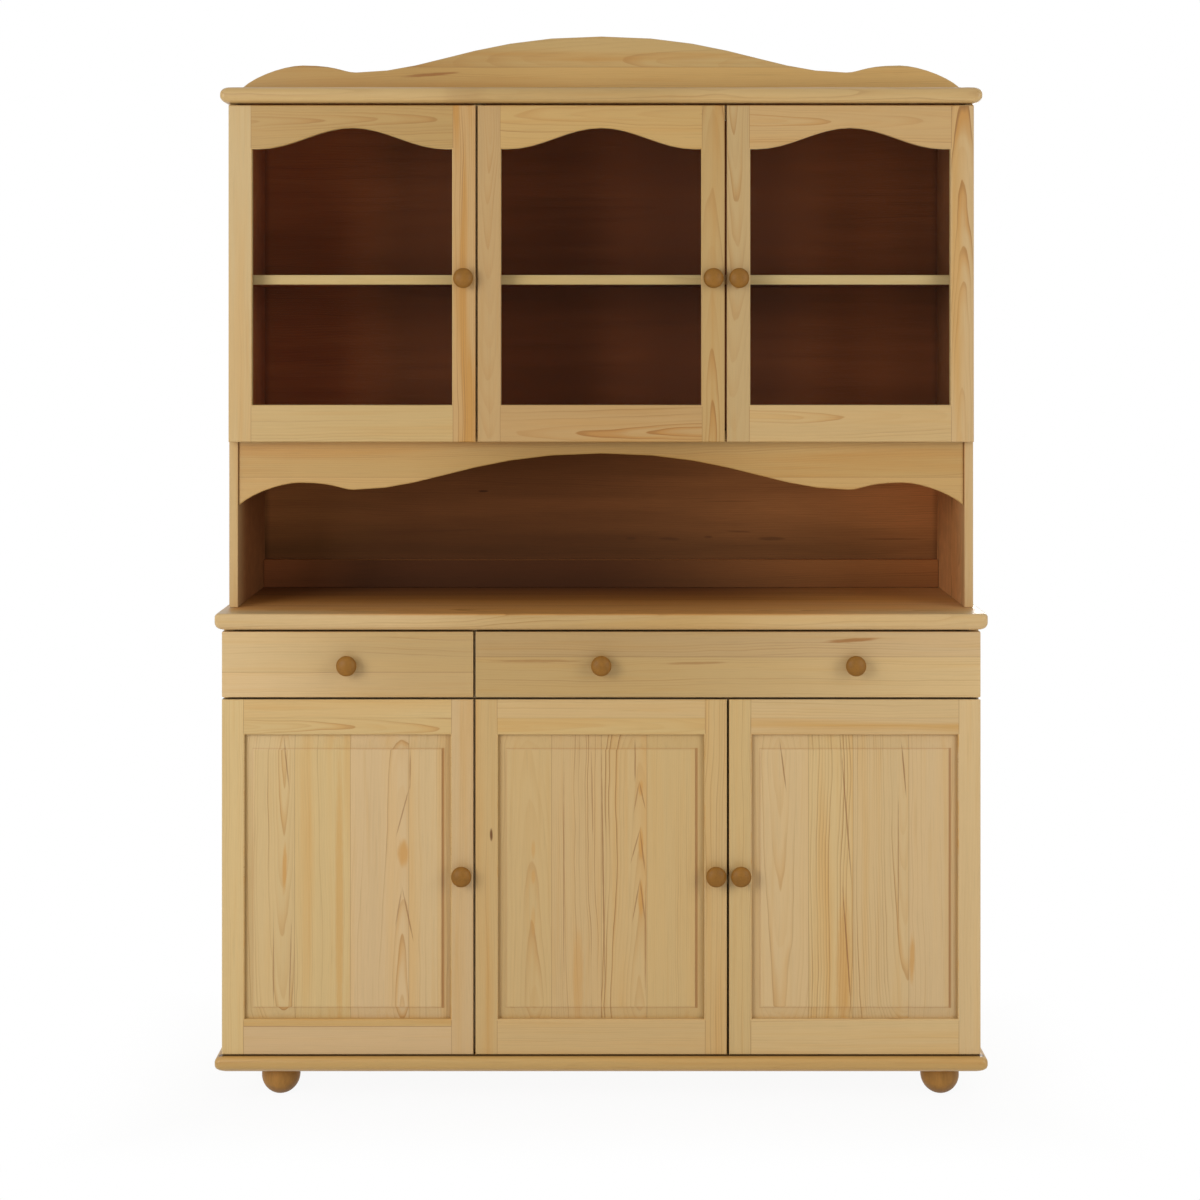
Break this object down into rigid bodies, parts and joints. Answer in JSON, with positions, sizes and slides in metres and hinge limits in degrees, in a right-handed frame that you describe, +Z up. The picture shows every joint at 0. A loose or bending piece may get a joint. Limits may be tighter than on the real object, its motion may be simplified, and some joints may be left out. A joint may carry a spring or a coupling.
{
  "type": "dresser",
  "caption": "Pine dresser with panelled cupboards and drawers under an open niche and a glazed hutch with a wave-cut crest.",
  "frame": {"origin": "on the floor, under the middle of the dresser's box", "axes": "+Z up, +Y to the wall behind, so the doors face -Y, and +X to the right as seen from the front"},
  "size_m": [1.4, 0.4352, 1.9513],
  "materials": {
    "pine": "clear satin lacquer over knotty pine",
    "back_board": "stained boards",
    "knob_wood": "honey-brown satin lacquer",
    "window_glass": "clear float glass",
    "hinge_steel": "nickel plated"
  },
  "bodies": {
    "carcass": {"base_board": "pine", "foot_front_left": "pine", "foot_front_right": "pine", "foot_rear_left": "pine", "foot_rear_right": "pine", "base_side_left": "pine", "base_side_right": "pine", "base_partition": "pine", "drawer_board": "pine", "base_shelf": "pine", "base_back": "back_board", "worktop": "pine", "hutch_side_left": "pine", "hutch_side_right": "pine", "hutch_bottom": "pine", "hutch_partition": "pine", "hutch_shelf": "pine", "top_board": "pine", "crest": "pine", "valance": "pine", "hutch_back": "back_board", "hutch_back_rail": "pine", "base_hinge_left_lower": "hinge_steel", "base_hinge_left_upper": "hinge_steel", "base_hinge_centre_lower": "hinge_steel", "base_hinge_centre_upper": "hinge_steel", "base_hinge_right_lower": "hinge_steel", "base_hinge_right_upper": "hinge_steel", "hutch_hinge_left_lower": "hinge_steel", "hutch_hinge_left_upper": "hinge_steel", "hutch_hinge_centre_lower": "hinge_steel", "hutch_hinge_centre_upper": "hinge_steel", "hutch_hinge_right_lower": "hinge_steel", "hutch_hinge_right_upper": "hinge_steel"},
    "drawer_left": {"drawer_left_front": "pine", "drawer_left_box": "pine", "drawer_left_knob": "knob_wood"},
    "drawer_right": {"drawer_right_front": "pine", "drawer_right_box": "pine", "drawer_right_knob_left": "knob_wood", "drawer_right_knob_right": "knob_wood"},
    "base_door_left": {"base_door_left_frame": "pine", "base_door_left_panel": "pine", "base_door_left_knob": "knob_wood"},
    "base_door_centre": {"base_door_centre_frame": "pine", "base_door_centre_panel": "pine", "base_door_centre_knob": "knob_wood"},
    "base_door_right": {"base_door_right_frame": "pine", "base_door_right_panel": "pine", "base_door_right_knob": "knob_wood"},
    "hutch_door_left": {"hutch_door_left_frame": "pine", "hutch_door_left_pane": "window_glass", "hutch_door_left_knob": "knob_wood"},
    "hutch_door_centre": {"hutch_door_centre_frame": "pine", "hutch_door_centre_pane": "window_glass", "hutch_door_centre_knob": "knob_wood"},
    "hutch_door_right": {"hutch_door_right_frame": "pine", "hutch_door_right_pane": "window_glass", "hutch_door_right_knob": "knob_wood"}
  },
  "joints": [
    {"name": "base_door_left_swing", "type": "hinge", "parent": "carcass", "child": "base_door_left", "pos_m": [-0.688, -0.18735, 0.411], "axis": [0, 0, -1], "range_deg": [0, 95]},
    {"name": "base_door_centre_swing", "type": "hinge", "parent": "carcass", "child": "base_door_centre", "pos_m": [-0.228, -0.18735, 0.411], "axis": [0, 0, -1], "range_deg": [0, 95]},
    {"name": "base_door_right_swing", "type": "hinge", "parent": "carcass", "child": "base_door_right", "pos_m": [0.688, -0.18735, 0.411], "axis": [0, 0, 1], "range_deg": [0, 95]},
    {"name": "hutch_door_left_swing", "type": "hinge", "parent": "carcass", "child": "hutch_door_left", "pos_m": [-0.685, -0.13435, 1.5065], "axis": [0, 0, -1], "range_deg": [0, 95]},
    {"name": "hutch_door_centre_swing", "type": "hinge", "parent": "carcass", "child": "hutch_door_centre", "pos_m": [-0.227, -0.13435, 1.5065], "axis": [0, 0, -1], "range_deg": [0, 95]},
    {"name": "hutch_door_right_swing", "type": "hinge", "parent": "carcass", "child": "hutch_door_right", "pos_m": [0.685, -0.13435, 1.5065], "axis": [0, 0, 1], "range_deg": [0, 95]},
    {"name": "drawer_left_slide", "type": "slide", "parent": "carcass", "child": "drawer_left", "axis": [0, -1, 0], "range_m": [0, 0.28]},
    {"name": "drawer_right_slide", "type": "slide", "parent": "carcass", "child": "drawer_right", "axis": [0, -1, 0], "range_m": [0, 0.28]}
  ]
}
